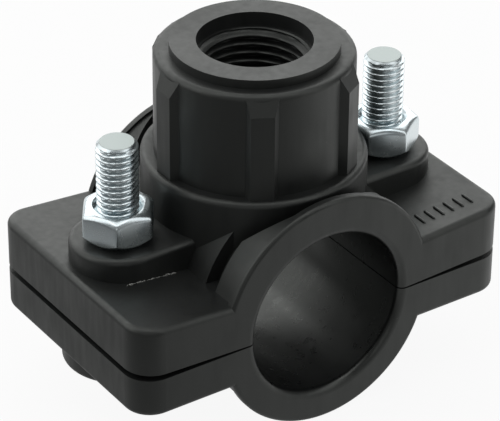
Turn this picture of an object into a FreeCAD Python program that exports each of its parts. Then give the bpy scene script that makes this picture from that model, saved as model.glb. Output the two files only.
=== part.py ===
import FreeCAD, Part

import os
import re
import Sketcher

# Tapping saddle: a moulded clamp in two halves on a plastic pipe, with a threaded outlet on top.
# X runs through both bolts, Y along the pipe and Z up the outlet. The origin is where the
# outlet's axis crosses the pipe's. Lengths are in millimetres and angles in degrees.

# Driving sizes: name, value, meaning
SIZES = [
    ("pipe_diameter", 32.0, "outside of the pipe"),
    ("pipe_clearance", 0.5, "radial room between pipe and bore"),
    ("mouth_round", 1.6, "rounding at both mouths of the bore"),
    ("crown_rise", 0.3, "height of the upper bore's axis over the pipe's"),
    ("ring_rise", 1.8, "height of the upper rings' axis over the pipe's"),
    ("saddle_length", 51.0, "length along the pipe"),
    ("ring_wall", 6.45, "from the bore's radius to that of an end ring"),
    ("ring_round", 0.8, "rounding of a ring's outer edge"),
    ("lip_width", 1.7, "width of the lip at a ring's outer end"),
    ("band_step", 0.5, "step from the lip down to the band behind it"),
    ("ring_width", 6.7, "whole width of a ring"),
    ("relief_width", 3.3, "width of the relief between ring and barrel"),
    ("relief_depth", 2.8, "depth of the relief below the band"),
    ("recess_width", 2.7, "width of the recess round the collar in the end rings"),
    ("split_drop", 0.43, "lower mating face, below the pipe's axis"),
    ("split_gap", 0.25, "gap between the halves beside the bore"),
    ("mating_tilt", 2.4, "upward tilt of the sprung upper wings' mating faces"),
    ("wing_overhang", 11.6, "from a bolt's axis to the wing's end"),
    ("upper_wing", 9.1, "thickness of an upper wing beside the bore"),
    ("top_tilt", 4.0, "tilt of an upper wing's top"),
    ("lower_wing", 8.0, "thickness of a lower wing"),
    ("wing_corner", 5.5, "corner radius of a wing in plan"),
    ("wing_round", 1.2, "rounding of a wing's outer edge"),
    ("pad_radius", 9.4, "round end of a nut's pad"),
    ("pad_height", 6.03, "top of a nut's pad over the wing's top beside the bore"),
    ("pad_round", 1.1, "rounding of a pad's edge"),
    ("boss_radius", 11.2, "boss round a bolt's head"),
    ("boss_drop", 2.9, "height of a boss below the lower wing"),
    ("boss_round", 1.0, "rounding of a boss's edge"),
    ("collar_step", 2.6, "from the sleeve out to the collar's wall"),
    ("collar_drop", 0.35, "top of the collar below the top of the rings"),
    ("collar_round", 1.1, "rounding of the collar's rim"),
    ("sleeve_wall", 8.42, "from the outlet's thread out to the sleeve's wall"),
    ("sleeve_height", 21.0, "sleeve from the collar to its ledge"),
    ("sleeve_round", 1.2, "rounding of the ledge's outer edge"),
    ("ledge_width", 3.0, "ledge round the raised end face"),
    ("face_height", 1.8, "height of the end face over the ledge"),
    ("rib_count", 6, "grip ribs round the sleeve"),
    ("rib_height", 1.3, "how far a rib stands out"),
    ("rib_foot", 5.8, "width of a rib at the sleeve"),
    ("rib_crest", 4.4, "width of a rib's outer face"),
    ("rib_stop", 1.1, "from a rib's upper end to the ledge"),
    ("rib_slope", 2.5, "height of the slope at a rib's upper end"),
    ("rib_root", 0.3, "how deep a rib's root lies in the sleeve"),
    ("thread_diameter", 20.955, "major diameter of the half-inch pipe thread"),
    ("thread_clearance", 0.1, "radial room round the thread's major diameter"),
    ("thread_length", 16.0, "length of the outlet's thread"),
    ("entry_step", 0.37, "from the thread out to the smooth entry above it"),
    ("entry_depth", 3.0, "depth of the smooth entry"),
    ("port_step", 2.1, "from the thread in to the port below it"),
    ("groove_wall", 2.0, "wall between the port and the seal's groove"),
    ("groove_width", 3.5, "width of the seal's groove"),
    ("groove_depth", 1.5, "depth of the seal's groove"),
    ("seal_slack", 0.15, "room between the seal and its groove"),
    ("bolt_diameter", 8.0, "thread diameter of the bolts"),
    ("bolt_length", 40.0, "bolt below its head"),
    ("bolt_chamfer", 1.0, "chamfer at a bolt's end"),
    ("head_height", 5.3, "height of a bolt's head"),
    ("head_wall", 4.5, "wall of the lower wing over a bolt's head"),
    ("nut_wall", 2.5, "from the bolt's thread to the flats of heads and nuts"),
    ("hex_bevel", 30.0, "angle of the bevel at a hexagon's corners"),
    ("face_step", 0.7, "from a hexagon's flats in to the start of its bevel"),
    ("hex_room", 0.15, "room round a bolt's head in its socket"),
    ("nut_room", 2.2, "from the collar to a nut's nearest flat, room for its corners"),
    ("nut_height", 6.8, "height of a nut"),
    ("nut_clearance", 0.05, "radial running clearance of a nut on its bolt"),
    ("nut_mouth", 0.75, "chamfer at both mouths of a nut's bore"),
    ("lower_hole_room", 0.2, "radial room round a bolt in the lower half"),
    ("upper_hole_room", 0.5, "radial room round a bolt in the upper half"),
    ("left_nut_turn", 55.6, "direction of a corner of the left nut"),
    ("right_nut_turn", 33.0, "direction of a corner of the right nut"),
    ("cut_margin", 1.0, "how far a cut runs past the face that it leaves"),
]

# Lengths and levels that several features share
BORE = "(pipe_diameter / 2 + pipe_clearance)"
HALF_LENGTH = "(saddle_length / 2)"
RING = f"({BORE} + ring_wall)"
BAND = f"({RING} - band_step)"
RELIEF = f"({BAND} - relief_depth)"
THREAD = "(thread_diameter / 2 + thread_clearance)"
ENTRY = f"({THREAD} + entry_step)"
PORT = f"({THREAD} - port_step)"
GROOVE_INNER = f"({PORT} + groove_wall)"
GROOVE_OUTER = f"({GROOVE_INNER} + groove_width)"
SLEEVE = f"({THREAD} + sleeve_wall)"
FACE = f"({SLEEVE} - ledge_width)"
COLLAR = f"({SLEEVE} + collar_step)"
HALF_FLATS = "(bolt_diameter / 2 + nut_wall)"
HEX_CORNER = f"({HALF_FLATS} / cos(30))"
BOLT_X = f"({COLLAR} + nut_room + {HALF_FLATS})"
HALF_WIDTH = f"({BOLT_X} + wing_overhang)"
FAR_X = f"({HALF_WIDTH} + cut_margin)"
LOWER_SPLIT = "(-split_drop)"
UPPER_SPLIT = "(split_gap - split_drop)"
UPPER_TOP = f"({UPPER_SPLIT} + upper_wing)"
PAD_TOP = f"({UPPER_TOP} + pad_height)"
LOWER_FACE = "(-split_drop - lower_wing)"
BOSS_FACE = f"({LOWER_FACE} - boss_drop)"
HEAD_SEAT = "(-split_drop - head_wall)"
COLLAR_TOP = f"(ring_rise + {RING} - collar_drop)"
LEDGE = f"({COLLAR_TOP} + sleeve_height)"
OUTLET_TOP = f"({LEDGE} + face_height)"

doc = FreeCAD.newDocument("tapping_saddle")
sheet = doc.addObject("Spreadsheet::Sheet", "sizes")
for row, (alias, number, meaning) in enumerate(SIZES, start=1):
    sheet.set(f"A{row}", meaning)
    sheet.set(f"B{row}", str(number))
    sheet.setAlias(f"B{row}", alias)
doc.recompute()


def bound(formula):
    """The formula as an expression on the sheet."""
    return re.sub(r"\b([a-z]+(?:_[a-z]+)+)\b", r"sizes.\1", str(formula))


def value(formula):
    """The formula's value now."""
    return float(sheet.evalExpression(bound(formula)))


def drive(item, path, formula):
    """Binds a property to a formula."""
    item.setExpression(path, bound(formula))


def near(a, b):
    return abs(a - b) < 1e-4


# Sketches
def new_body(name):
    return doc.addObject("PartDesign::Body", name)


def origin_part(body, role):
    """One of the body's own origin planes or axes."""
    return next(feature for feature in body.Origin.OriginFeatures if feature.Role == role)


def new_sketch(body, name, plane, lift="0"):
    """A sketch on one of the body's own origin planes, lifted along the plane's normal."""
    sketch = body.newObject("Sketcher::SketchObject", name)
    sketch.AttachmentSupport = (origin_part(body, plane), [""])
    sketch.MapMode = "FlatFace"
    drive(sketch, "AttachmentOffset.Base.z", lift)
    return sketch


def place(sketch, curve, end, point, names):
    """Holds the end of a curve at the point's two formulas, of which None leaves one free."""
    axes = (("DistanceX", -2, point[0], "across"), ("DistanceY", -1, point[1], "along"))
    for kind, axis, formula, word in axes:
        if formula is None:
            continue
        if formula == "0":
            sketch.addConstraint(Sketcher.Constraint("PointOnObject", curve, end, axis))
            continue
        number = sketch.addConstraint(Sketcher.Constraint(kind, -1, 1, curve, end, value(formula)))
        sketch.renameConstraint(number, f"{names}_{word}")
        drive(sketch, f"Constraints.{names}_{word}", formula)


def polygon(body, name, plane, points, lift="0"):
    """A closed outline of straight lines through points that are pairs of formulas."""
    sketch = new_sketch(body, name, plane, lift)
    corners = [FreeCAD.Vector(value(a), value(b), 0) for a, b in points]
    for corner, following in zip(corners, corners[1:] + corners[:1]):
        sketch.addGeometry(Part.LineSegment(corner, following), False)
    for index, point in enumerate(points):
        following = (index + 1) % len(points)
        sketch.addConstraint(Sketcher.Constraint("Coincident", index, 2, following, 1))
        place(sketch, index, 1, point, f"corner{index}")
    return sketch


def disc(body, name, plane, centre, radius, lift="0"):
    """A circle about a centre given by two formulas."""
    sketch = new_sketch(body, name, plane, lift)
    middle = FreeCAD.Vector(value(centre[0]), value(centre[1]), 0)
    sketch.addGeometry(Part.Circle(middle, FreeCAD.Vector(0, 0, 1), value(radius)), False)
    number = sketch.addConstraint(Sketcher.Constraint("Radius", 0, value(radius)))
    sketch.renameConstraint(number, "radius")
    drive(sketch, "Constraints.radius", radius)
    place(sketch, 0, 3, centre, "centre")
    return sketch


def half_slot(body, name, root, middle, radius, lift="0"):
    """Two straight sides from x = root that end in a half circle about x = middle."""
    sketch = new_sketch(body, name, "XY_Plane", lift)
    x0, x1, r = value(root), value(middle), value(radius)
    vector = FreeCAD.Vector
    arc = Part.Arc(vector(x1, -r, 0), vector(x1 + r, 0, 0), vector(x1, r, 0))
    sketch.addGeometry(Part.LineSegment(vector(x0, -r, 0), vector(x1, -r, 0)), False)
    sketch.addGeometry(arc, False)
    sketch.addGeometry(Part.LineSegment(vector(x1, r, 0), vector(x0, r, 0)), False)
    sketch.addGeometry(Part.LineSegment(vector(x0, r, 0), vector(x0, -r, 0)), False)
    for index in range(4):
        following = (index + 1) % 4
        sketch.addConstraint(Sketcher.Constraint("Coincident", index, 2, following, 1))
    place(sketch, 0, 1, (root, f"-{radius}"), "start")
    place(sketch, 1, 1, (middle, f"-{radius}"), "arc_start")
    place(sketch, 2, 1, (middle, radius), "arc_end")
    place(sketch, 3, 1, (root, radius), "finish")
    place(sketch, 1, 3, (middle, None), "centre")
    return sketch


# Features
def pad(body, sketch, length, both_ways=False, downward=False):
    feature = body.newObject("PartDesign::Pad", sketch.Name + "_pad")
    feature.Profile = sketch
    feature.SideType = "Symmetric" if both_ways else "One side"
    feature.Reversed = downward
    drive(feature, "Length", length)
    return feature


def revolve(body, sketch, axis, kind="Revolution"):
    """Turns a sketch once round its own H_Axis or V_Axis, to add or, as a Groove, to cut."""
    feature = body.newObject("PartDesign::" + kind, sketch.Name + "_turned")
    feature.Profile = sketch
    feature.ReferenceAxis = (sketch, [axis])
    feature.Angle = 360
    return feature


def edges_of(shape, wanted):
    return [f"Edge{i}" for i, edge in enumerate(shape.Edges, start=1) if wanted(edge)]


def dress(body, kind, name, sizing, wanted):
    """Fillets or chamfers those edges of the body so far that are wanted."""
    doc.recompute()
    base = body.Tip
    edges = edges_of(base.Shape, wanted)
    if not edges:
        raise RuntimeError(f"{name}: no edge found")
    feature = body.newObject("PartDesign::" + kind, name)
    feature.Base = (base, edges)
    drive(feature, "Radius" if kind == "Fillet" else "Size", sizing)
    return feature


def rim(level, radius):
    """Picks a full circle about Z of this radius at this level."""
    def wanted(edge):
        circle = isinstance(edge.Curve, Part.Circle) and near(edge.Curve.Radius, value(radius))
        return circle and near(edge.BoundBox.ZMin, value(level)) and near(edge.BoundBox.ZLength, 0)
    return wanted


def combine(kind, name, items):
    feature = doc.addObject("Part::" + kind, name)
    feature.Shapes = items
    feature.Refine = True
    return feature


def cut(name, base, tool):
    feature = doc.addObject("Part::Cut", name)
    feature.Base = base
    feature.Tool = tool
    feature.Refine = True
    return feature


def mirrored(source, name):
    """The same body on the other side of the pipe."""
    feature = doc.addObject("Part::Mirroring", name)
    feature.Source = source
    feature.Normal = FreeCAD.Vector(1, 0, 0)
    return feature


def cylinder(name, radius, bottom, height, x="0"):
    """An upright cylinder."""
    feature = doc.addObject("Part::Cylinder", name)
    drive(feature, "Radius", radius)
    drive(feature, "Height", height)
    drive(feature, "Placement.Base.x", x)
    drive(feature, "Placement.Base.z", bottom)
    return feature


def pipe_cylinder(name, radius, level, length="saddle_length + 2 * cut_margin"):
    """A cylinder along the pipe, which runs past both ends of the saddle if no length is given."""
    feature = doc.addObject("Part::Cylinder", name)
    feature.Placement.Rotation = FreeCAD.Rotation(FreeCAD.Vector(1, 0, 0), 90)
    drive(feature, "Radius", radius)
    drive(feature, "Height", length)
    drive(feature, "Placement.Base.y", f"({length}) / 2")
    drive(feature, "Placement.Base.z", level)
    return feature


# What both halves share: the barrel with its end rings, and the room for the pipe
def barrel(name, level):
    """A turned barrel about the pipe: lip, band, relief, then the middle, the same at both ends."""
    body = new_body(name)
    lip = f"{HALF_LENGTH} - lip_width"
    ring = f"{HALF_LENGTH} - ring_width"
    relief = f"{HALF_LENGTH} - ring_width - relief_width"
    end = [
        (HALF_LENGTH, "0"), (HALF_LENGTH, RING), (lip, RING), (lip, BAND),
        (ring, BAND), (ring, RELIEF), (relief, RELIEF), (relief, BAND),
    ]
    other_end = [(f"-({y})", r) for y, r in reversed(end)]
    sketch = polygon(body, name + "_profile", "YZ_Plane", end + other_end)
    revolve(body, sketch, "H_Axis")

    def outer_edge(edge):
        box = edge.BoundBox
        at_end = near(box.YLength, 0) and near(abs(box.YMin), value(HALF_LENGTH))
        return at_end and near(box.ZMax, value(RING))
    dress(body, "Fillet", name + "_edges", "ring_round", outer_edge)
    drive(body, "Placement.Base.z", level)
    return body


def pipe_room(name, level):
    """The bore and the roundings at its mouths, as a solid to cut with."""
    body = new_body(name)
    past = f"{HALF_LENGTH} + cut_margin"
    mouth = f"{BORE} + mouth_round + cut_margin"
    end = [(past, "0"), (past, mouth), (HALF_LENGTH, mouth), (HALF_LENGTH, BORE)]
    other_end = [(f"-({y})", r) for y, r in reversed(end)]
    sketch = polygon(body, name + "_profile", "YZ_Plane", end + other_end)
    revolve(body, sketch, "H_Axis")

    def mouth_edge(edge):
        box = edge.BoundBox
        at_end = near(box.YLength, 0) and near(abs(box.YMin), value(HALF_LENGTH))
        return at_end and near(box.ZMax, value(BORE))
    dress(body, "Fillet", name + "_mouths", "mouth_round", mouth_edge)
    drive(body, "Placement.Base.z", level)
    return body


def outer_corner(edge):
    """A wing's upright edges at its outer end."""
    box = edge.BoundBox
    return near(box.XMin, value(HALF_WIDTH)) and near(box.YLength, 0)


# Upper half: wings with nut pads, barrel, collar, and the ribbed sleeve of the outlet
def upper_wing():
    """One sprung wing, rising outward, with the level pad that its nut bears on."""
    body = new_body("upper_wing_body")
    tip = f"{UPPER_TOP} + ({HALF_WIDTH} - {BORE}) * tan(top_tilt)"
    outline = [(BORE, LOWER_SPLIT), (HALF_WIDTH, LOWER_SPLIT), (HALF_WIDTH, tip), (BORE, UPPER_TOP)]
    pad(body, polygon(body, "upper_wing_side", "XZ_Plane", outline), "saddle_length", both_ways=True)
    dress(body, "Fillet", "upper_wing_corners", "wing_corner", outer_corner)

    def top_edge(edge):
        box = edge.BoundBox
        return box.ZMin > value(UPPER_TOP) - 1e-4 and box.XMax > value(BORE) + 1e-4
    dress(body, "Fillet", "upper_wing_edges", "wing_round", top_edge)
    pad(body, half_slot(body, "nut_pad", BORE, BOLT_X, "pad_radius"), PAD_TOP)

    def pad_edge(edge):
        box = edge.BoundBox
        return near(box.ZMin, value(PAD_TOP)) and box.XMax > value(BORE) + 1e-4
    dress(body, "Fillet", "nut_pad_edges", "pad_round", pad_edge)
    return body


def collar_recess():
    """Room round the collar in both end rings, as deep as the relief, that leaves the lips whole."""
    tower = cylinder("recess_tower", f"{COLLAR} + recess_width", "0", f"{COLLAR_TOP} + cut_margin")
    span = pipe_cylinder("recess_span", f"{RING} + cut_margin", "ring_rise", "saddle_length - 2 * lip_width")
    floor = pipe_cylinder("recess_floor", RELIEF, "ring_rise")
    middle_length = "saddle_length - 2 * ring_width"
    middle = pipe_cylinder("recess_middle", f"{RING} + 2 * cut_margin", "ring_rise", middle_length)
    kept = combine("MultiFuse", "recess_kept", [floor, middle])
    return cut("collar_recess", combine("MultiCommon", "recess_room", [tower, span]), kept)


def outlet():
    """Collar and sleeve in one turned body, with trapezoid ribs round the sleeve."""
    body = new_body("outlet_body")
    profile = [
        ("0", "0"), (COLLAR, "0"), (COLLAR, COLLAR_TOP), (SLEEVE, COLLAR_TOP),
        (SLEEVE, LEDGE), (FACE, LEDGE), (FACE, OUTLET_TOP), ("0", OUTLET_TOP),
    ]
    revolve(body, polygon(body, "outlet_profile", "XZ_Plane", profile), "V_Axis")
    dress(body, "Fillet", "collar_rim", "collar_round", rim(COLLAR_TOP, COLLAR))
    dress(body, "Fillet", "sleeve_rim", "sleeve_round", rim(LEDGE, SLEEVE))

    # a rib widens and lengthens inward at a constant rate, from its crest to its root
    reach = "(1 + rib_root / rib_height)"
    root_half = f"(rib_crest / 2 + (rib_foot - rib_crest) / 2 * {reach})"
    crest_top = f"({LEDGE} - rib_stop - rib_slope)"
    root_top = f"({LEDGE} - rib_stop - rib_slope + rib_slope * {reach})"
    sections = []
    for name, half, top, distance in (
        ("rib_root_section", root_half, root_top, f"{SLEEVE} - rib_root"),
        ("rib_crest_section", "rib_crest / 2", crest_top, f"{SLEEVE} + rib_height"),
    ):
        foot = COLLAR_TOP
        outline = [(f"-({half})", foot), (half, foot), (half, top), (f"-({half})", top)]
        sections.append(polygon(body, name, "YZ_Plane", outline, lift=distance))
    rib = body.newObject("PartDesign::AdditiveLoft", "rib")
    rib.Profile = sections[0]
    rib.Sections = sections[1:]
    rib.Ruled = True
    pattern = body.newObject("PartDesign::PolarPattern", "ribs")
    pattern.Originals = [rib]
    pattern.Axis = (origin_part(body, "Z_Axis"), [""])
    pattern.Angle = 360
    drive(pattern, "Occurrences", "rib_count")
    body.Tip = pattern
    return body


def below_split():
    """Everything under the upper half's mating faces, which rise outward from the bore."""
    body = new_body("below_split_body")
    deep = f"-({RING} + cut_margin)"
    rise = f"{UPPER_SPLIT} + ({FAR_X} - {BORE}) * tan(mating_tilt)"
    outline = [
        (f"-{FAR_X}", deep), (FAR_X, deep), (FAR_X, rise),
        (BORE, UPPER_SPLIT), (f"-{BORE}", UPPER_SPLIT), (f"-{FAR_X}", rise),
    ]
    sketch = polygon(body, "below_split_side", "XZ_Plane", outline)
    pad(body, sketch, "saddle_length + 2 * cut_margin", both_ways=True)
    return body


def outlet_bore():
    """Smooth entry, thread at its major diameter, and the port through to the pipe."""
    body = new_body("outlet_bore_body")
    entry = f"({OUTLET_TOP} - entry_depth)"
    shoulder = f"({OUTLET_TOP} - entry_depth - thread_length)"
    past = f"({OUTLET_TOP} + cut_margin)"
    profile = [
        ("0", "0"), (PORT, "0"), (PORT, shoulder), (THREAD, shoulder),
        (THREAD, entry), (ENTRY, entry), (ENTRY, past), ("0", past),
    ]
    revolve(body, polygon(body, "outlet_bore_profile", "XZ_Plane", profile), "V_Axis")
    return body


def upright_ring(name, inner, outer):
    """An upright tube from the pipe's axis to the collar's top."""
    hole = cylinder(name + "_inside", inner, "0", COLLAR_TOP)
    solid = cylinder(name + "_outside", outer, "0", COLLAR_TOP)
    return cut(name + "_tube", solid, hole)


def seal_groove():
    """The groove round the port, of one depth below the curved ceiling of the bore."""
    ceiling = pipe_cylinder("groove_floor", f"{BORE} + groove_depth", "crown_rise")
    tube = upright_ring("groove", GROOVE_INNER, GROOVE_OUTER)
    return combine("MultiCommon", "seal_groove", [tube, ceiling])


def seal_ring():
    """A rubber ring that fills the groove and stands out to the lower half's bore."""
    back = pipe_cylinder("seal_back", f"{BORE} + groove_depth - seal_slack", "crown_rise")
    pipe = pipe_cylinder("seal_pipe", BORE, "0")
    tube = upright_ring("seal", f"{GROOVE_INNER} + seal_slack", f"{GROOVE_OUTER} - seal_slack")
    return cut("seal_ring", combine("MultiCommon", "seal_blank", [tube, back]), pipe)


def bolt_holes(name, room, bottom, height):
    radius = f"bolt_diameter / 2 + {room}"
    left = cylinder(name + "_left", radius, bottom, height, f"-{BOLT_X}")
    right = cylinder(name + "_right", radius, bottom, height, BOLT_X)
    return [left, right]


def upper_saddle():
    wing = upper_wing()
    rings = cut("upper_rings", barrel("upper_barrel", "ring_rise"), collar_recess())
    solids = [wing, mirrored(wing, "upper_wing_left"), rings, outlet()]
    blank = combine("MultiFuse", "upper_blank", solids)
    holes = bolt_holes("upper_hole", "upper_hole_room", LOWER_SPLIT, f"{PAD_TOP} + split_drop + cut_margin")
    cuts = [below_split(), pipe_room("upper_room", "crown_rise"), outlet_bore(), seal_groove()]
    return cut("upper_saddle", blank, combine("MultiFuse", "upper_cuts", cuts + holes))


# Lower half: flat wings with a boss and a hexagon socket for each bolt's head, and the barrel
def lower_wing():
    body = new_body("lower_wing_body")
    outline = [(BORE, LOWER_FACE), (HALF_WIDTH, LOWER_FACE), (HALF_WIDTH, LOWER_SPLIT), (BORE, LOWER_SPLIT)]
    pad(body, polygon(body, "lower_wing_side", "XZ_Plane", outline), "saddle_length", both_ways=True)
    dress(body, "Fillet", "lower_wing_corners", "wing_corner", outer_corner)

    def bottom_edge(edge):
        box = edge.BoundBox
        return near(box.ZMax, value(LOWER_FACE)) and box.XMax > value(BORE) + 1e-4
    dress(body, "Fillet", "lower_wing_edges", "wing_round", bottom_edge)
    boss = disc(body, "head_boss", "XY_Plane", (BOLT_X, "0"), "boss_radius", lift=LOWER_SPLIT)
    pad(body, boss, "lower_wing + boss_drop", downward=True)
    dress(body, "Fillet", "head_boss_edge", "boss_round", rim(BOSS_FACE, "boss_radius"))
    return body


def head_socket(name, x):
    """A hexagon socket, open below, that keeps a bolt's head from turning."""
    socket = doc.addObject("Part::Prism", name)
    socket.Polygon = 6
    drive(socket, "Circumradius", f"({HALF_FLATS} + hex_room) / cos(30)")
    drive(socket, "Height", f"{HEAD_SEAT} - {BOSS_FACE} + cut_margin")
    drive(socket, "Placement.Base.x", x)
    drive(socket, "Placement.Base.z", f"{BOSS_FACE} - cut_margin")
    return socket


def above_split():
    """Everything over the lower half's mating faces."""
    box = doc.addObject("Part::Box", "above_split")
    drive(box, "Length", f"2 * ({RING} + cut_margin)")
    drive(box, "Width", "saddle_length + 2 * cut_margin")
    drive(box, "Height", f"{RING} + split_drop + cut_margin")
    drive(box, "Placement.Base.x", f"-({RING} + cut_margin)")
    drive(box, "Placement.Base.y", "-(saddle_length / 2 + cut_margin)")
    drive(box, "Placement.Base.z", LOWER_SPLIT)
    return box


def lower_saddle():
    wing = lower_wing()
    solids = [wing, mirrored(wing, "lower_wing_left"), barrel("lower_barrel", "0")]
    blank = combine("MultiFuse", "lower_blank", solids)
    holes = bolt_holes("lower_hole", "lower_hole_room", BOSS_FACE, "boss_drop + lower_wing + cut_margin")
    sockets = [head_socket("socket_left", f"-{BOLT_X}"), head_socket("socket_right", BOLT_X)]
    cuts = [above_split(), pipe_room("lower_room", "0")] + holes + sockets
    return cut("lower_saddle", blank, combine("MultiFuse", "lower_cuts", cuts))


# Bolts and nuts
def hexagon(body, name, turn="0"):
    points = []
    for corner in range(6):
        angle = f"({60 * corner} + {turn})"
        points.append((f"{HEX_CORNER} * cos({angle})", f"{HEX_CORNER} * sin({angle})"))
    return polygon(body, name, "XY_Plane", points)


def bevel(body, name, level, upward):
    """Bevels a hexagon's rim at one end, from a circle a little inside its flats."""
    start = f"({HALF_FLATS} - face_step)"
    far = f"({HEX_CORNER} + cut_margin)"
    sign = "-" if upward else "+"
    depth = f"{level} {sign} ({far} - {start}) * tan(hex_bevel)"
    sketch = polygon(body, name, "XZ_Plane", [(start, level), (far, level), (far, depth)])
    return revolve(body, sketch, "V_Axis", "Groove")


def bolt(side, x):
    body = new_body("bolt_" + side)
    pad(body, hexagon(body, side + "_head"), "head_height", downward=True)
    bevel(body, side + "_head_bevel", "-head_height", upward=False)
    shank = disc(body, side + "_shank", "XY_Plane", ("0", "0"), "bolt_diameter / 2")
    pad(body, shank, "bolt_length")
    dress(body, "Chamfer", side + "_bolt_end", "bolt_chamfer", rim("bolt_length", "bolt_diameter / 2"))
    drive(body, "Placement.Base.x", x)
    drive(body, "Placement.Base.z", HEAD_SEAT)
    return body


def nut(side, x, turn):
    body = new_body("nut_" + side)
    pad(body, hexagon(body, side + "_hexagon", turn), "nut_height")
    bevel(body, side + "_upper_bevel", "nut_height", upward=True)
    bevel(body, side + "_lower_bevel", "0.0", upward=False)
    bore = "(bolt_diameter / 2 + nut_clearance)"
    mouth = f"({bore} + nut_mouth + cut_margin)"
    past = "nut_height + cut_margin"
    profile = [
        ("0", "-cut_margin"), (mouth, "-cut_margin"), (bore, "nut_mouth"),
        (bore, "nut_height - nut_mouth"), (mouth, past), ("0", past),
    ]
    revolve(body, polygon(body, side + "_nut_bore", "XZ_Plane", profile), "V_Axis", "Groove")
    drive(body, "Placement.Base.x", x)
    drive(body, "Placement.Base.z", PAD_TOP)
    return body


PIECES = [
    upper_saddle(),
    lower_saddle(),
    seal_ring(),
    bolt("left", f"-{BOLT_X}"),
    bolt("right", BOLT_X),
    nut("left", f"-{BOLT_X}", "left_nut_turn"),
    nut("right", BOLT_X, "right_nut_turn"),
]
doc.recompute()

for item in doc.Objects:
    if "Invalid" in item.State or "Error" in item.State:
        raise RuntimeError(f"{item.Name} failed: {item.State}")
for piece in PIECES:
    shape = piece.Shape
    if shape.isNull() or not shape.isValid() or len(shape.Solids) != 1:
        raise RuntimeError(f"{piece.Label} is not one valid solid")

os.makedirs("parts", exist_ok=True)
for piece in PIECES:
    piece.Shape.exportStep(f"parts/{piece.Label}.step")
    print(piece.Label, "volume", round(piece.Shape.Volume, 1), "mm3")
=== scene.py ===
import math
import bpy
from mathutils import Matrix, Vector
from mathutils.bvhtree import BVHTree


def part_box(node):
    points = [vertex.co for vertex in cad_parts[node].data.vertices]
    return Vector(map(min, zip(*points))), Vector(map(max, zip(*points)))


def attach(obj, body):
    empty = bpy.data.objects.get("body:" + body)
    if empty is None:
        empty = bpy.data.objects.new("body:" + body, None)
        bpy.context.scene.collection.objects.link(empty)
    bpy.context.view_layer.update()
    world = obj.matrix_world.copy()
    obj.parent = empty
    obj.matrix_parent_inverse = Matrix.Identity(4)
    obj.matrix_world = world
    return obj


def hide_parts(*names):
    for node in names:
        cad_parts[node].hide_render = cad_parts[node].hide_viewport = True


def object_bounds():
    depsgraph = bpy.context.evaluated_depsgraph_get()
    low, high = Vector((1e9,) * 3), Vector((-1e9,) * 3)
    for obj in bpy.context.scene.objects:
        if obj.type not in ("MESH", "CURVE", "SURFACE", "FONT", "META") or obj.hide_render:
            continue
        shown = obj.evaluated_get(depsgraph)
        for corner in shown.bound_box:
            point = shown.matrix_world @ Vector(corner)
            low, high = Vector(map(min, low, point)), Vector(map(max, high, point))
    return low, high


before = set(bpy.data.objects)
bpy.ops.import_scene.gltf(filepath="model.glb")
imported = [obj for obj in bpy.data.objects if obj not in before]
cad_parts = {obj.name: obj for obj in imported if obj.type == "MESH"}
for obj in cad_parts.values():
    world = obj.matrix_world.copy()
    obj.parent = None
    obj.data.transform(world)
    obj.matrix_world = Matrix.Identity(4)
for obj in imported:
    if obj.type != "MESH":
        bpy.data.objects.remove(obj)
cad_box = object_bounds()

# Lower half. One injection moulding in carbon-black polypropylene: a trough for the pipe between
# two flat wings, with a boss under each wing that holds a bolt's head. The tool's satin finish
# gives broad soft highlights, and handling has left pale flecks.
MM = 0.001


def linear(code):
    """An sRGB hex colour as linear red, green, blue and full alpha."""
    channels = [int(code[i:i + 2], 16) / 255 for i in (1, 3, 5)]
    return [c / 12.92 if c <= 0.04045 else ((c + 0.055) / 1.055) ** 2.4 for c in channels] + [1.0]


def add_node(tree, kind, inputs=None, **settings):
    """Adds a node to the tree, with its settings, and its sockets set or linked."""
    node = tree.nodes.new(kind)
    for name, setting in settings.items():
        setattr(node, name, setting)
    for socket, given in (inputs or {}).items():
        if isinstance(given, bpy.types.NodeSocket):
            tree.links.new(given, node.inputs[socket])
        else:
            node.inputs[socket].default_value = given
    return node


def new_material(name):
    """An empty node material with its surface output."""
    material = bpy.data.materials.new(name)
    material.use_nodes = True
    material.node_tree.nodes.clear()
    return material, material.node_tree, add_node(material.node_tree, "ShaderNodeOutputMaterial")


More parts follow.
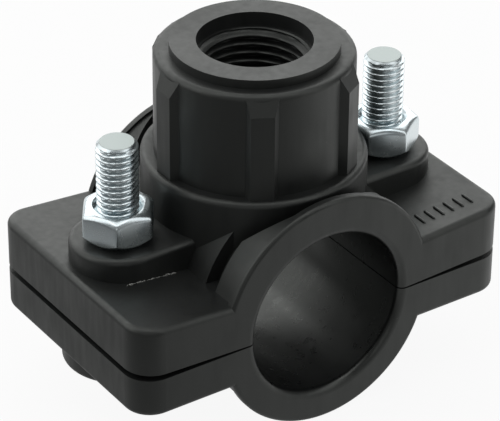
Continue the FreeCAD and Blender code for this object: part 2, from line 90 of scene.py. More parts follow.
def moulded_polypropylene():
    """Carbon-black polypropylene as moulded: near-black body, satin skin with flow marks, pale
    flecks, and a glossier bore, where the tool's core is polished. Its IOR starts from the bare
    resin's 1.49, and is matched to this skin's stronger sheen."""
    grain_size = 0.30 * MM
    grain_depth = 0.05 * MM
    fleck_size = 1.1 * MM
    clean_cells = 0.86
    cloud_size = 9.0 * MM
    flow_width = 1.3 * MM
    flow_stretch = 0.15
    glossiest, dullest = 0.38, 0.52
    bore_edge, wall_edge = 16.9 * MM, 17.5 * MM
    bore_polish = 0.66
    material, tree, output = new_material("moulded_polypropylene")
    place = add_node(tree, "ShaderNodeTexCoord").outputs["Object"]
    clouds = add_node(tree, "ShaderNodeTexNoise", {
        "Vector": place, "Scale": 1 / cloud_size, "Detail": 3.0})
    flecks = add_node(tree, "ShaderNodeTexVoronoi", {"Vector": place, "Scale": 1 / fleck_size})
    grain = add_node(tree, "ShaderNodeTexNoise", {
        "Vector": place, "Scale": 1 / grain_size, "Detail": 2.0})
    fleck = add_node(tree, "ShaderNodeMapRange", {
        "Value": flecks.outputs["Distance"],
        "From Min": 0.05, "From Max": 0.09, "To Min": 1.0, "To Max": 0.0})
    chosen = add_node(tree, "ShaderNodeMath", {0: flecks.outputs["Color"], 1: clean_cells},
                      operation="GREATER_THAN")
    share = add_node(tree, "ShaderNodeMath", {0: fleck.outputs["Result"], 1: chosen.outputs[0]},
                     operation="MULTIPLY")
    colour = add_node(tree, "ShaderNodeMix", {
        "Factor": share.outputs[0], "A": linear("#191a1a"), "B": linear("#4a4b4a")},
        data_type="RGBA")

    # the melt runs along the walls, and leaves long faint streaks of duller and brighter skin
    streaks = add_node(tree, "ShaderNodeMapping", {
        "Vector": place, "Scale": (1.0, 1.0, flow_stretch)})
    flow = add_node(tree, "ShaderNodeTexNoise", {
        "Vector": streaks.outputs["Vector"], "Scale": 1 / flow_width, "Detail": 2.0})
    skin = add_node(tree, "ShaderNodeMath", {0: clouds.outputs["Fac"], 1: flow.outputs["Fac"]},
                    operation="ADD")
    roughness = add_node(tree, "ShaderNodeMapRange", {
        "Value": skin.outputs[0],
        "From Min": 0.7, "From Max": 1.3, "To Min": glossiest, "To Max": dullest})

    # the bore is told from the rest by its distance from the pipe's axis
    section = add_node(tree, "ShaderNodeVectorMath", {0: place, 1: (1.0, 0.0, 1.0)},
                       operation="MULTIPLY")
    reach = add_node(tree, "ShaderNodeVectorMath", {0: section.outputs[0]}, operation="LENGTH")
    polish = add_node(tree, "ShaderNodeMapRange", {
        "Value": reach.outputs["Value"],
        "From Min": bore_edge, "From Max": wall_edge, "To Min": bore_polish, "To Max": 1.0})
    gloss = add_node(tree, "ShaderNodeMath", {
        0: roughness.outputs["Result"], 1: polish.outputs["Result"]}, operation="MULTIPLY")
    relief = add_node(tree, "ShaderNodeBump", {
        "Height": grain.outputs["Fac"], "Strength": 0.12, "Distance": grain_depth})
    shader = add_node(tree, "ShaderNodeBsdfPrincipled", {
        "Base Color": colour.outputs["Result"], "Roughness": gloss.outputs[0],
        "IOR": 1.60, "Specular Tint": linear("#fafff9"), "Normal": relief.outputs["Normal"]})
    tree.links.new(shader.outputs["BSDF"], output.inputs["Surface"])
    return material


polypropylene = moulded_polypropylene()


def finish_node(name, material):
    """Gives a CAD piece its finish."""
    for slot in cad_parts[name].material_slots:
        slot.material = material


finish_node("lower_saddle", polypropylene)

# Bolts. Two M8 hexagon bolts in zinc-plated steel, heads down in the lower half's sockets. Their
# threads are rolled, so crests and roots are rounded, and the plate is bright with a blue tint.
BOLT_RADIUS = 4.0 * MM
BOLT_PITCH = 1.25 * MM
BOLT_DEPTH = 0.70 * MM
BOLT_END_CUT = 0.8 * MM
BOLT_AROUND = 48
BOLT_ROWS_PER_PITCH = 12
HEAD_HEIGHT = 5.3 * MM
HEX_HALF_WIDTH = 6.5 * MM
HEX_CORNER_ROUND = 0.6 * MM
HEAD_OVERLAP = 2.0 * MM
HEAD_ENDS = ((6.1 * MM, 30, 0.5 * MM), (6.1 * MM, 30, 0.3 * MM))


def zinc_plate():
    """Bright zinc plate on cold-formed steel: a bluish mirror blurred by a fine uneven skin. The
    bolts' sheared ends, above everything else of the metal, are rougher, and their colour is greyed
    as painted shade that dims the end faces' reflection."""
    skin_size = 0.5 * MM
    skin_depth = 0.04 * MM
    cloud_size = 4.0 * MM
    brightest, dullest = 0.20, 0.32
    bright_below, sheared_below = 0.15 * MM, 0.05 * MM
    sheared_roughness = 0.5
    material, tree, output = new_material("zinc_plated_steel")
    place = add_node(tree, "ShaderNodeTexCoord").outputs["Object"]
    clouds = add_node(tree, "ShaderNodeTexNoise", {
        "Vector": place, "Scale": 1 / cloud_size, "Detail": 4.0})
    skin = add_node(tree, "ShaderNodeTexNoise", {
        "Vector": place, "Scale": 1 / skin_size, "Detail": 3.0})
    colour = add_node(tree, "ShaderNodeMix", {
        "Factor": clouds.outputs["Fac"], "A": linear("#c4d2d8"), "B": linear("#e4eaea")},
        data_type="RGBA")
    roughness = add_node(tree, "ShaderNodeMapRange", {
        "Value": clouds.outputs["Fac"],
        "From Min": 0.3, "From Max": 0.7, "To Min": brightest, "To Max": dullest})
    height = add_node(tree, "ShaderNodeSeparateXYZ", {0: place}).outputs["Z"]
    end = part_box("bolt_left")[1].z
    sheared_and_shaded = add_node(tree, "ShaderNodeMapRange", {
        "Value": height, "From Min": end - bright_below, "From Max": end - sheared_below})
    # painted shade: the top of each bolt is greyed so that its end face reflects less light
    painted_end_shade = add_node(tree, "ShaderNodeMix", {
        "Factor": sheared_and_shaded.outputs["Result"], "A": colour.outputs["Result"],
        "B": linear("#acb4b2")}, data_type="RGBA")
    rubbed = add_node(tree, "ShaderNodeMix", {
        "Factor": sheared_and_shaded.outputs["Result"], "A": roughness.outputs["Result"],
        "B": sheared_roughness}, data_type="FLOAT")
    relief = add_node(tree, "ShaderNodeBump", {
        "Height": skin.outputs["Fac"], "Strength": 0.08, "Distance": skin_depth})
    shader = add_node(tree, "ShaderNodeBsdfPrincipled", {
        "Base Color": painted_end_shade.outputs["Result"], "Metallic": 1.0,
        "Roughness": rubbed.outputs["Result"], "Normal": relief.outputs["Normal"]})
    tree.links.new(shader.outputs["BSDF"], output.inputs["Surface"])
    return material


zinc = zinc_plate()


def thread_tree():
    """Geometry nodes that turn a fine cylinder into a threaded rod with cut or flared ends."""
    crest_end, root_start = 0.06, 0.44
    tree = bpy.data.node_groups.new("threaded_rod", "GeometryNodeTree")
    for name in ("Radius", "Pitch", "Depth", "Length", "End Cut", "Flare", "Row Height"):
        tree.interface.new_socket(name, in_out="INPUT", socket_type="NodeSocketFloat")
    tree.interface.new_socket("Around", in_out="INPUT", socket_type="NodeSocketInt")
    tree.interface.new_socket("Material", in_out="INPUT", socket_type="NodeSocketMaterial")
    tree.interface.new_socket("Geometry", in_out="OUTPUT", socket_type="NodeSocketGeometry")
    given = add_node(tree, "NodeGroupInput").outputs
    rows = add_node(tree, "ShaderNodeMath", {0: given["Length"], 1: given["Row Height"]},
                    operation="DIVIDE")
    rod = add_node(tree, "GeometryNodeMeshCylinder", {
        "Vertices": given["Around"], "Side Segments": rows.outputs[0], "Radius": given["Radius"],
        "Depth": given["Length"]})
    place = add_node(tree, "GeometryNodeInputPosition").outputs["Position"]
    axes = add_node(tree, "ShaderNodeSeparateXYZ", {0: place}).outputs

    # the ridge follows a right-hand helix: full at its crest, deepest half a pitch away
    angle = add_node(tree, "ShaderNodeMath", {0: axes["Y"], 1: axes["X"]}, operation="ARCTAN2")
    turn = add_node(tree, "ShaderNodeMath", {0: angle.outputs[0], 1: 2 * math.pi},
                    operation="DIVIDE")
    rise = add_node(tree, "ShaderNodeMath", {0: axes["Z"], 1: given["Pitch"]}, operation="DIVIDE")
    along = add_node(tree, "ShaderNodeMath", {0: rise.outputs[0], 1: turn.outputs[0]},
                     operation="SUBTRACT")
    from_crest = add_node(tree, "ShaderNodeMath", {0: along.outputs[0], 1: 0.5},
                          operation="PINGPONG")
    flank = add_node(tree, "ShaderNodeMapRange", {
        "Value": from_crest.outputs[0], "From Min": crest_end, "From Max": root_start,
        "To Max": given["Depth"]}, interpolation_type="SMOOTHSTEP")
    ridge = add_node(tree, "ShaderNodeMath", {0: given["Radius"], 1: flank.outputs["Result"]},
                     operation="SUBTRACT")

    # both ends are cut back, or flared, at 45 degrees
    half = add_node(tree, "ShaderNodeMath", {0: given["Length"], 1: 0.5}, operation="MULTIPLY")
    height = add_node(tree, "ShaderNodeMath", {0: axes["Z"]}, operation="ABSOLUTE")
    to_end = add_node(tree, "ShaderNodeMath", {0: half.outputs[0], 1: height.outputs[0]},
                      operation="SUBTRACT")
    tip = add_node(tree, "ShaderNodeMath", {0: given["Radius"], 1: given["End Cut"]},
                   operation="SUBTRACT")
    cut = add_node(tree, "ShaderNodeMath", {0: tip.outputs[0], 1: to_end.outputs[0]},
                   operation="ADD")
    mouth = add_node(tree, "ShaderNodeMath", {0: given["Radius"], 1: given["Flare"]},
                     operation="ADD")
    flare = add_node(tree, "ShaderNodeMath", {0: mouth.outputs[0], 1: to_end.outputs[0]},
                     operation="SUBTRACT")
    trimmed = add_node(tree, "ShaderNodeMath", {0: ridge.outputs[0], 1: cut.outputs[0]},
                       operation="MINIMUM")
    radius = add_node(tree, "ShaderNodeMath", {0: trimmed.outputs[0], 1: flare.outputs[0]},
                      operation="MAXIMUM")
    share = add_node(tree, "ShaderNodeMath", {0: radius.outputs[0], 1: given["Radius"]},
                     operation="DIVIDE")
    scale = add_node(tree, "ShaderNodeCombineXYZ", {
        "X": share.outputs[0], "Y": share.outputs[0], "Z": 1.0})
    moved = add_node(tree, "ShaderNodeVectorMath", {0: place, 1: scale.outputs[0]},
                     operation="MULTIPLY")
    shaped = add_node(tree, "GeometryNodeSetPosition", {
        "Geometry": rod.outputs["Mesh"], "Position": moved.outputs[0]})
    real = add_node(tree, "GeometryNodeRealizeInstances", {"Geometry": shaped.outputs[0]})
    dressed = add_node(tree, "GeometryNodeSetMaterial", {
        "Geometry": real.outputs[0], "Material": given["Material"]})
    add_node(tree, "NodeGroupOutput", {"Geometry": dressed.outputs[0]})
    return tree


thread = thread_tree()


def grown(tree, sizes):
    """The plain mesh that a geometry tree makes from these sizes."""
    blank = bpy.data.objects.new("blank", bpy.data.meshes.new("blank"))
    bpy.context.scene.collection.objects.link(blank)
    modifier = blank.modifiers.new("grow", "NODES")
    modifier.node_group = tree
    identifiers = {item.name: item.identifier for item in tree.interface.items_tree
                   if item.in_out == "INPUT"}
    for name, size in sizes.items():
        modifier[identifiers[name]] = size
    graph = bpy.context.evaluated_depsgraph_get()
    mesh = bpy.data.meshes.new_from_object(blank.evaluated_get(graph))
    bpy.data.objects.remove(blank)
    return mesh


def threaded_rod(centre, sizes):
    """A threaded rod, with the middle of its length at the centre."""
    mesh = grown(thread, sizes)
    mesh.transform(Matrix.Translation(centre))
    return mesh


def hexagon_mesh(name, centre, turn, bottom, top, ends):
    """A cold-formed hexagon with rounded corners. Each end, lower then upper, gives its level
    face's radius, the angle of the bevel beyond it, and the rounding where bevel and flat meet."""
    arc_steps = 6
    sector = math.radians(30)
    corner_reach = (HEX_HALF_WIDTH - HEX_CORNER_ROUND) / math.cos(sector)
    round_reach = corner_reach + HEX_CORNER_ROUND * math.cos(sector)
    corner_spread = math.atan2(HEX_CORNER_ROUND * 0.5, round_reach)

    def wall(angle):
        """Distance from the axis to the wall, at an angle from the nearest corner."""
        if abs(angle) < corner_spread:
            side = corner_reach * math.sin(angle)
            return corner_reach * math.cos(angle) + math.sqrt(HEX_CORNER_ROUND ** 2 - side ** 2)
        return HEX_HALF_WIDTH / math.cos(sector - abs(angle))

    def profile(reach, face_radius, slope, edge_round):
        """Radius and depth of the points from the level face's rim down to the wall."""
        bevel = math.radians(slope)
        opening = math.radians(90) - bevel
        depth = (reach - face_radius) * math.tan(bevel) + edge_round * math.tan(opening / 2)
        points = [(face_radius, 0.0)]
        for step in range(arc_steps + 1):
            lean = opening * (1 - step / arc_steps)
            points.append((reach - edge_round + edge_round * math.cos(lean),
                           depth - edge_round * math.sin(lean)))
        return points

    over_corner = [corner_spread * k / 2 for k in range(-2, 3)]
    over_flat = [math.radians(a) for a in range(5, 60, 5)]
    angles = [math.radians(60 * corner) + a for corner in range(6) for a in over_corner + over_flat]
    columns = []
    for angle in angles:
        reach = wall((angle + sector) % (2 * sector) - sector)
        upper = [(r, top - d) for r, d in profile(reach, *ends[1])]
        lower = [(r, bottom + d) for r, d in reversed(profile(reach, *ends[0]))]
        direction = angle + math.radians(turn)
        columns.append([(centre[0] + r * math.cos(direction), centre[1] + r * math.sin(direction), z)
                        for r, z in upper + lower])
    rows = len(columns[0])
    faces = []
    for k in range(len(columns)):
        here, there = k * rows, (k + 1) % len(columns) * rows
        faces += [(here + i, here + i + 1, there + i + 1, there + i) for i in range(rows - 1)]
    faces.append([k * rows for k in range(len(columns))])
    faces.append([k * rows + rows - 1 for k in reversed(range(len(columns)))])
    mesh = bpy.data.meshes.new(name)
    mesh.from_pydata([point for column in columns for point in column], [], faces)
    return mesh


def combined(name, base, tool, operation):
    """One mesh from two by a boolean, smooth but for its sharp edges, as an object at the origin."""
    smooth_angle = 32
    first = bpy.data.objects.new(name, base)
    second = bpy.data.objects.new(name + "_tool", tool)
    for item in (first, second):
        bpy.context.scene.collection.objects.link(item)
    step = first.modifiers.new("join", "BOOLEAN")
    step.operation = operation
    step.solver = "EXACT"
    step.object = second
    graph = bpy.context.evaluated_depsgraph_get()
    mesh = bpy.data.meshes.new_from_object(first.evaluated_get(graph))
    first.modifiers.clear()
    first.data = mesh
    mesh.name = name
    mesh.polygons.foreach_set("use_smooth", [True] * len(mesh.polygons))
    mesh.set_sharp_from_angle(angle=math.radians(smooth_angle))
    bpy.data.objects.remove(second)
    return first


def paint(piece, material):
    """Gives a piece its material, in a slot of its own."""
    piece.data.materials.clear()
    piece.data.materials.append(material)


def threaded_bolt(side):
    """One bolt: a hexagon head with a fully threaded shank, cut to a cone at its end."""
    low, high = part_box("bolt_" + side)
    axis = (low + high) / 2
    seat = low.z + HEAD_HEIGHT
    foot = seat - HEAD_OVERLAP
    head = hexagon_mesh("head", axis, 0, low.z, seat, HEAD_ENDS)
    shank = threaded_rod((axis.x, axis.y, (foot + high.z) / 2), {
        "Radius": BOLT_RADIUS, "Pitch": BOLT_PITCH, "Depth": BOLT_DEPTH, "Length": high.z - foot,
        "End Cut": BOLT_END_CUT, "Flare": -BOLT_RADIUS, "Around": BOLT_AROUND,
        "Row Height": BOLT_PITCH / BOLT_ROWS_PER_PITCH, "Material": zinc})
    bolt = combined("threaded_bolt_" + side, head, shank, "UNION")
    paint(bolt, zinc)
    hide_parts("bolt_" + side)
    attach(bolt, "lower_half")


for side in ("left", "right"):
    threaded_bolt(side)

# Seal. A ring of black nitrile rubber in a groove round the port, moulded to the pipe's curve.
# Rubber bloom leaves it dull.


def nitrile_rubber():
    """Black rubber: dull, with a fine chalky bloom."""
    bloom_size = 0.8 * MM
    material, tree, output = new_material("nitrile_rubber")
    place = add_node(tree, "ShaderNodeTexCoord").outputs["Object"]
    bloom = add_node(tree, "ShaderNodeTexNoise", {
        "Vector": place, "Scale": 1 / bloom_size, "Detail": 4.0})
    colour = add_node(tree, "ShaderNodeMix", {
        "Factor": bloom.outputs["Fac"], "A": linear("#101010"), "B": linear("#1c1c1b")},
        data_type="RGBA")
    shader = add_node(tree, "ShaderNodeBsdfPrincipled", {
        "Base Color": colour.outputs["Result"], "Roughness": 0.75, "IOR": 1.52})
    tree.links.new(shader.outputs["BSDF"], output.inputs["Surface"])
    return material


finish_node("seal_ring", nitrile_rubber())

# Upper half. A second moulding in the same polypropylene: sprung wings with a pad for each nut,
# and the outlet, whose half-inch pipe thread is moulded into its wall by a core that unscrews.
finish_node("upper_saddle", polypropylene)
PIPE_THREAD_PITCH = 1.814 * MM
PIPE_THREAD_WALL = 10.5775 * MM
PIPE_THREAD_DEPTH = 1.16 * MM
PIPE_THREAD_LENGTH = 16.0 * MM
PIPE_THREAD_AROUND = 96
PIPE_THREAD_ROWS_PER_PITCH = 14
SMOOTH_ENTRY = 3.0 * MM
THREAD_BEDDING = 0.03 * MM


def outlet_thread():
    """The thread's ridges, as a sleeve bedded in the outlet's wall."""
    middle = (0, 0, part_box("upper_saddle")[1].z - SMOOTH_ENTRY - PIPE_THREAD_LENGTH / 2)
    inset = 0.02 * MM
    core = threaded_rod(middle, {
        "Radius": PIPE_THREAD_WALL - 2 * THREAD_BEDDING, "Pitch": PIPE_THREAD_PITCH,
        "Depth": PIPE_THREAD_DEPTH, "Length": PIPE_THREAD_LENGTH, "End Cut": 0.0, "Flare": 0.0,
        "Around": PIPE_THREAD_AROUND,
        "Row Height": PIPE_THREAD_PITCH / PIPE_THREAD_ROWS_PER_PITCH, "Material": polypropylene})
    liner = threaded_rod(middle, {
        "Radius": PIPE_THREAD_WALL + THREAD_BEDDING, "Pitch": PIPE_THREAD_PITCH, "Depth": 0.0,
        "Length": PIPE_THREAD_LENGTH - 2 * inset, "End Cut": 0.0, "Flare": 0.0,
        "Around": PIPE_THREAD_AROUND, "Row Height": PIPE_THREAD_PITCH,
        "Material": polypropylene})
    ridges = combined("outlet_thread", liner, core, "DIFFERENCE")
    paint(ridges, polypropylene)
    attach(ridges, "upper_half")


outlet_thread()

# Marks and flash. Short raised bars, moulded with the upper half, stand on the right wing, where
# such a fitting has its size. A ragged thread of flash was left at the left pad's foot.


def bar_tree():
    """Geometry nodes for a row of half-sunk bars with rounded ends."""
    points_along, points_around = 17, 12
    end_share, end_fullness = 0.14, 0.3
    tree = bpy.data.node_groups.new("raised_bars", "GeometryNodeTree")
    for name in ("Spacing", "Length", "Width"):
        tree.interface.new_socket(name, in_out="INPUT", socket_type="NodeSocketFloat")
    tree.interface.new_socket("Count", in_out="INPUT", socket_type="NodeSocketInt")
    tree.interface.new_socket("Material", in_out="INPUT", socket_type="NodeSocketMaterial")
    tree.interface.new_socket("Geometry", in_out="OUTPUT", socket_type="NodeSocketGeometry")
    given = add_node(tree, "NodeGroupInput").outputs
    half = add_node(tree, "ShaderNodeMath", {0: given["Length"], 1: 0.5}, operation="MULTIPLY")
    minus = add_node(tree, "ShaderNodeMath", {0: given["Length"], 1: -0.5}, operation="MULTIPLY")
    first = add_node(tree, "ShaderNodeCombineXYZ", {"Y": minus.outputs[0]})
    last = add_node(tree, "ShaderNodeCombineXYZ", {"Y": half.outputs[0]})
    line = add_node(tree, "GeometryNodeCurvePrimitiveLine", {
        "Start": first.outputs[0], "End": last.outputs[0]})
    fine = add_node(tree, "GeometryNodeResampleCurve", {
        "Curve": line.outputs[0], "Count": points_along})
    along = add_node(tree, "GeometryNodeSplineParameter").outputs["Factor"]
    from_end = add_node(tree, "ShaderNodeMath", {0: along, 1: 0.5}, operation="PINGPONG")
    fullness = add_node(tree, "ShaderNodeMapRange", {
        "Value": from_end.outputs[0], "From Max": end_share, "To Min": end_fullness},
        interpolation_type="SMOOTHSTEP")
    radius = add_node(tree, "ShaderNodeMath", {0: given["Width"], 1: 0.5}, operation="MULTIPLY")
    round_section = add_node(tree, "GeometryNodeCurvePrimitiveCircle", {
        "Resolution": points_around, "Radius": radius.outputs[0]})
    bar = add_node(tree, "GeometryNodeCurveToMesh", {
        "Curve": fine.outputs[0], "Profile Curve": round_section.outputs["Curve"],
        "Scale": fullness.outputs["Result"], "Fill Caps": True})
    step = add_node(tree, "ShaderNodeCombineXYZ", {"X": given["Spacing"]})
    row = add_node(tree, "GeometryNodeMeshLine", {
        "Count": given["Count"], "Offset": step.outputs[0]})
    bars = add_node(tree, "GeometryNodeInstanceOnPoints", {
        "Points": row.outputs[0], "Instance": bar.outputs[0]})
    real = add_node(tree, "GeometryNodeRealizeInstances", {"Geometry": bars.outputs[0]})
    dressed = add_node(tree, "GeometryNodeSetMaterial", {
        "Geometry": real.outputs[0], "Material": given["Material"]})
    add_node(tree, "NodeGroupOutput", {"Geometry": dressed.outputs[0]})
    return tree


upper_skin = BVHTree.FromObject(
    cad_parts["upper_saddle"], bpy.context.evaluated_depsgraph_get())


def skin_below(x, y):
    """The point of the upper half's skin straight below the sky at x and y, and its normal."""
    return upper_skin.ray_cast(Vector((x, y, 1.0)), Vector((0, 0, -1)))[:2]


def wing_bars():
    """The row of bars on the right wing, lying with the wing's slope at the row's middle."""
    count = 6
    spacing = 2.3 * MM
    length = 3.6 * MM
    width = 0.7 * MM
    point, normal = skin_below(31.0 * MM, -19.6 * MM)
    mesh = grown(bar_tree(), {
        "Spacing": spacing, "Length": length, "Width": width, "Count": count,
        "Material": polypropylene})
    mesh.transform(Matrix.Translation((-spacing * (count - 1) / 2, 0, 0)))
    lean = Vector((0, 0, 1)).rotation_difference(normal).to_matrix().to_4x4()
    mesh.transform(Matrix.Translation(point) @ lean)
    mesh.polygons.foreach_set("use_smooth", [True] * len(mesh.polygons))
    row = bpy.data.objects.new("wing_bars", mesh)
    bpy.context.scene.collection.objects.link(row)
    paint(row, polypropylene)
    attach(row, "upper_half")


wing_bars()


def bead_tree():
    """Geometry nodes for a thin ragged bead between two points."""
    points_along, points_around = 110, 6
    lump_size = 0.7 * MM
    tree = bpy.data.node_groups.new("ragged_bead", "GeometryNodeTree")
    for name in ("From", "To"):
        tree.interface.new_socket(name, in_out="INPUT", socket_type="NodeSocketVector")
    for name in ("Thickness", "Wander"):
        tree.interface.new_socket(name, in_out="INPUT", socket_type="NodeSocketFloat")
    tree.interface.new_socket("Material", in_out="INPUT", socket_type="NodeSocketMaterial")
    tree.interface.new_socket("Geometry", in_out="OUTPUT", socket_type="NodeSocketGeometry")
    given = add_node(tree, "NodeGroupInput").outputs
    line = add_node(tree, "GeometryNodeCurvePrimitiveLine", {
        "Start": given["From"], "End": given["To"]})
    fine = add_node(tree, "GeometryNodeResampleCurve", {
        "Curve": line.outputs[0], "Count": points_along})
    place = add_node(tree, "GeometryNodeInputPosition").outputs["Position"]
    chance = add_node(tree, "ShaderNodeTexNoise", {
        "Vector": place, "Scale": 1 / lump_size, "Detail": 3.0})
    centred = add_node(tree, "ShaderNodeVectorMath", {
        0: chance.outputs["Color"], 1: (0.5, 0.5, 0.5)}, operation="SUBTRACT")
    astray = add_node(tree, "ShaderNodeVectorMath", {
        0: centred.outputs[0], "Scale": given["Wander"]}, operation="SCALE")
    bent = add_node(tree, "GeometryNodeSetPosition", {
        "Geometry": fine.outputs[0], "Offset": astray.outputs[0]})
    radius = add_node(tree, "ShaderNodeMath", {0: given["Thickness"], 1: 0.5},
                      operation="MULTIPLY")
    section = add_node(tree, "GeometryNodeCurvePrimitiveCircle", {
        "Resolution": points_around, "Radius": radius.outputs[0]})
    swell = add_node(tree, "ShaderNodeMapRange", {
        "Value": chance.outputs["Fac"],
        "From Min": 0.35, "From Max": 0.6, "To Min": 0.2, "To Max": 1.0})
    bead = add_node(tree, "GeometryNodeCurveToMesh", {
        "Curve": bent.outputs[0], "Profile Curve": section.outputs["Curve"],
        "Scale": swell.outputs["Result"], "Fill Caps": True})
    real = add_node(tree, "GeometryNodeRealizeInstances", {"Geometry": bead.outputs[0]})
    dressed = add_node(tree, "GeometryNodeSetMaterial", {
        "Geometry": real.outputs[0], "Material": given["Material"]})
    add_node(tree, "NodeGroupOutput", {"Geometry": dressed.outputs[0]})
    return tree


def whitened_polypropylene():
    """Torn flash of the same polypropylene: stretched thin, it has gone pale grey and dull."""
    crumb_size = 0.5 * MM
    material, tree, output = new_material("whitened_polypropylene")
    place = add_node(tree, "ShaderNodeTexCoord").outputs["Object"]
    crumbs = add_node(tree, "ShaderNodeTexNoise", {
        "Vector": place, "Scale": 1 / crumb_size, "Detail": 3.0})
    paleness = add_node(tree, "ShaderNodeMapRange", {
        "Value": crumbs.outputs["Fac"], "From Min": 0.35, "From Max": 0.65})
    colour = add_node(tree, "ShaderNodeMix", {
        "Factor": paleness.outputs["Result"], "A": linear("#4a4b4a"), "B": linear("#b4b5b0")},
        data_type="RGBA")
    shader = add_node(tree, "ShaderNodeBsdfPrincipled", {
        "Base Color": colour.outputs["Result"], "Roughness": 0.6, "IOR": 1.49})
    tree.links.new(shader.outputs["BSDF"], output.inputs["Surface"])
    return material


def pad_flash():
    """The thread of flash along the left pad's foot."""
    start = skin_below(-34.4 * MM, -9.15 * MM)[0]
    end = skin_below(-23.9 * MM, -9.55 * MM)[0]
    pale = whitened_polypropylene()
    mesh = grown(bead_tree(), {
        "From": start, "To": end, "Thickness": 0.5 * MM, "Wander": 0.7 * MM, "Material": pale})
    mesh.polygons.foreach_set("use_smooth", [True] * len(mesh.polygons))
    flash = bpy.data.objects.new("pad_flash", mesh)
    bpy.context.scene.collection.objects.link(flash)
    paint(flash, pale)
    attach(flash, "upper_half")


pad_flash()

# Nuts. Two M8 hexagon nuts, cold formed, tapped and zinc plated, run down on the pads. The forming
# rounds the upper edge and narrows the foot, and the tap's lead-in leaves a wide mouth.
NUT_MOUTH = 0.8 * MM
NUT_CLEARANCE = 0.05 * MM
NUT_TURN = {"left": 55.6, "right": 33.0}
NUT_ENDS = ((5.5 * MM, 42, 0.3 * MM), (5.8 * MM, 30, 1.3 * MM))


def nut(side):
    """One nut: a hexagon tapped right through, with a countersink at both ends."""
    low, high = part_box("nut_" + side)
    axis = (low + high) / 2
    blank = hexagon_mesh("blank", axis, NUT_TURN[side], low.z, high.z, NUT_ENDS)
    over = 0.01 * MM
    tap = threaded_rod(axis, {
        "Radius": BOLT_RADIUS + NUT_CLEARANCE, "Pitch": BOLT_PITCH, "Depth": BOLT_DEPTH,
        "Length": high.z - low.z + 2 * over, "End Cut": 0.0, "Flare": NUT_MOUTH,
        "Around": BOLT_AROUND, "Row Height": BOLT_PITCH / BOLT_ROWS_PER_PITCH, "Material": zinc})
    piece = combined("tapped_nut_" + side, blank, tap, "DIFFERENCE")
    paint(piece, zinc)
    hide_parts("nut_" + side)
    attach(piece, side + "_nut")


for side in ("left", "right"):
    nut(side)

# Floor and light. A white sweep in a dim room, under six soft boxes: a wide one behind with a
# smaller one at its left, a tall one at each side, and weak ones in front and above. For reflections
# the sweep glows with a painted shade: brightest at the back right, darkening to the front left.
FLOOR_SIZE = 6.0


def white_paper():
    """Matt white paper: the camera sees it white under a faint shadow. For reflections it glows,
    with a painted shade that darkens from the back right to the front left."""
    camera_share = 0.92
    brighter_way = (0.9, 0.45, 0.0)
    dark_until, bright_from = -0.11, 0.07
    darkest, brightest = 0.16, 1.0
    material, tree, output = new_material("white_paper")
    path = add_node(tree, "ShaderNodeLightPath").outputs
    place = add_node(tree, "ShaderNodeTexCoord").outputs["Object"]
    # painted shade: the glow that reflections see of the floor dims towards the front left
    towards = add_node(tree, "ShaderNodeVectorMath", {0: place, 1: brighter_way},
                       operation="DOT_PRODUCT")
    painted_shade = add_node(tree, "ShaderNodeMapRange", {
        "Value": towards.outputs["Value"], "From Min": dark_until, "From Max": bright_from,
        "To Min": darkest, "To Max": brightest})
    mirrored = add_node(tree, "ShaderNodeMath", {
        0: path["Is Glossy Ray"], 1: path["Is Transmission Ray"]}, operation="MAXIMUM")
    seen = add_node(tree, "ShaderNodeMath", {0: path["Is Camera Ray"], 1: camera_share},
                    operation="MULTIPLY")
    share = add_node(tree, "ShaderNodeMath", {0: seen.outputs[0], 1: mirrored.outputs[0]},
                     operation="MAXIMUM")
    glow = add_node(tree, "ShaderNodeMath", {
        0: path["Is Camera Ray"], 1: painted_shade.outputs["Result"]}, operation="MAXIMUM")
    paper = add_node(tree, "ShaderNodeBsdfPrincipled", {
        "Base Color": linear("#eeeeee"), "Roughness": 0.9, "Specular IOR Level": 0.1})
    white = add_node(tree, "ShaderNodeEmission", {
        "Color": linear("#ffffff"), "Strength": glow.outputs[0]})
    mixed = add_node(tree, "ShaderNodeMixShader", {
        0: share.outputs[0], 1: paper.outputs[0], 2: white.outputs[0]})
    tree.links.new(mixed.outputs[0], output.inputs["Surface"])
    return material


half = FLOOR_SIZE / 2
level = cad_box[0][2]
floor_mesh = bpy.data.meshes.new("floor")
floor_mesh.from_pydata(
    [(-half, -half, level), (half, -half, level), (half, half, level), (-half, half, level)],
    [], [(0, 1, 2, 3)])
floor_mesh.materials.append(white_paper())
floor = bpy.data.objects.new("floor", floor_mesh)
bpy.context.scene.collection.objects.link(floor)


def white_room():
    """A dim room that the camera sees as white, and gloss as grey."""
    room_light = 0.06
    mirrored_light = 0.20
    world = bpy.data.worlds.new("white_room")
    world.use_nodes = True
    tree = world.node_tree
    path = add_node(tree, "ShaderNodeLightPath").outputs
    mirrored = add_node(tree, "ShaderNodeMath", {
        0: path["Is Glossy Ray"], 1: path["Is Transmission Ray"]}, operation="MAXIMUM")
    pale = add_node(tree, "ShaderNodeMath", {0: mirrored.outputs[0], 1: mirrored_light},
                    operation="MULTIPLY")
    lit = add_node(tree, "ShaderNodeMath", {0: pale.outputs[0], 1: room_light},
                   operation="MAXIMUM")
    strength = add_node(tree, "ShaderNodeMath", {0: path["Is Camera Ray"], 1: lit.outputs[0]},
                        operation="MAXIMUM")
    room = tree.nodes["Background"]
    room.inputs["Color"].default_value = linear("#ffffff")
    tree.links.new(strength.outputs[0], room.inputs["Strength"])
    bpy.context.scene.world = world


white_room()

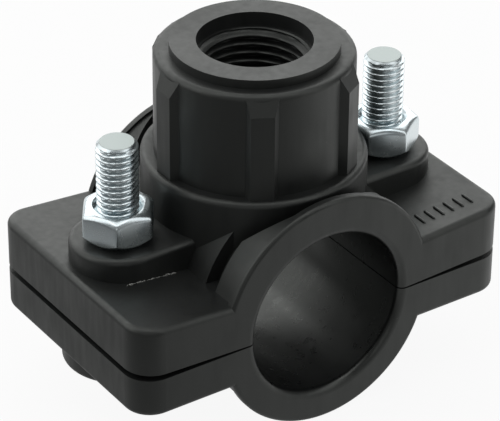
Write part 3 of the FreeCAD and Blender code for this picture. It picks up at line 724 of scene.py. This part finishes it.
# name, azimuth and elevation in degrees, width and height in metres, power in watts
SOFT_BOXES = (
    ("back_box", 146, 33, 2.0, 1.3, 12.8),
    ("back_left_box", -144, 29, 1.0, 1.0, 3.4),
    ("front_left_box", -104, 40, 0.6, 1.7, 4.0),
    ("front_right_box", 35, 42, 0.6, 1.6, 3.1),
    ("front_box", -34, 20, 0.8, 0.6, 0.6),
    ("top_box", -34, 84, 0.8, 0.8, 2.2),
)


def soft_box(name, azimuth, elevation, width, height, power):
    """A rectangular lamp that faces the object from a direction around it."""
    distance = 1.2
    lamp = bpy.data.lights.new(name, "AREA")
    lamp.shape = "RECTANGLE"
    lamp.size = width
    lamp.size_y = height
    lamp.energy = power
    holder = bpy.data.objects.new(name, lamp)
    a, e = math.radians(azimuth), math.radians(elevation)
    away = Vector((math.sin(a) * math.cos(e), -math.cos(a) * math.cos(e), math.sin(e)))
    holder.location = away * distance
    holder.rotation_euler = away.to_track_quat("Z", "Y").to_euler()
    bpy.context.scene.collection.objects.link(holder)


for placed in SOFT_BOXES:
    soft_box(*placed)

# Camera. A long lens above the left front corner, in the photograph's frame of 500 by 421 pixels.
IMAGE_WIDTH = 500
FOCAL_PIXELS = 2763.7
CAMERA_AZIMUTH = -34.533
CAMERA_ELEVATION = 31.419
CAMERA_ROLL = 0.524
CAMERA_DISTANCE = 0.5356
AIM_RIGHT = -0.00061
AIM_UP = 0.00855

lens = bpy.data.cameras.new("camera")
lens.sensor_width = 36.0
lens.lens = FOCAL_PIXELS * lens.sensor_width / IMAGE_WIDTH
azimuth, elevation = math.radians(CAMERA_AZIMUTH), math.radians(CAMERA_ELEVATION)
back = Vector((math.sin(azimuth) * math.cos(elevation),
               -math.cos(azimuth) * math.cos(elevation), math.sin(elevation)))
right = Vector((math.cos(azimuth), math.sin(azimuth), 0))
up = back.cross(right)
roll = Matrix.Rotation(math.radians(CAMERA_ROLL), 3, "Z")
turned = Matrix((right, up, back)).transposed() @ roll
spot = right * AIM_RIGHT + up * AIM_UP + back * CAMERA_DISTANCE
camera = bpy.data.objects.new("camera", lens)
camera.matrix_world = Matrix.Translation(spot) @ turned.to_4x4()
bpy.context.scene.collection.objects.link(camera)
bpy.context.scene.camera = camera
bpy.context.scene.view_settings.view_transform = "Standard"
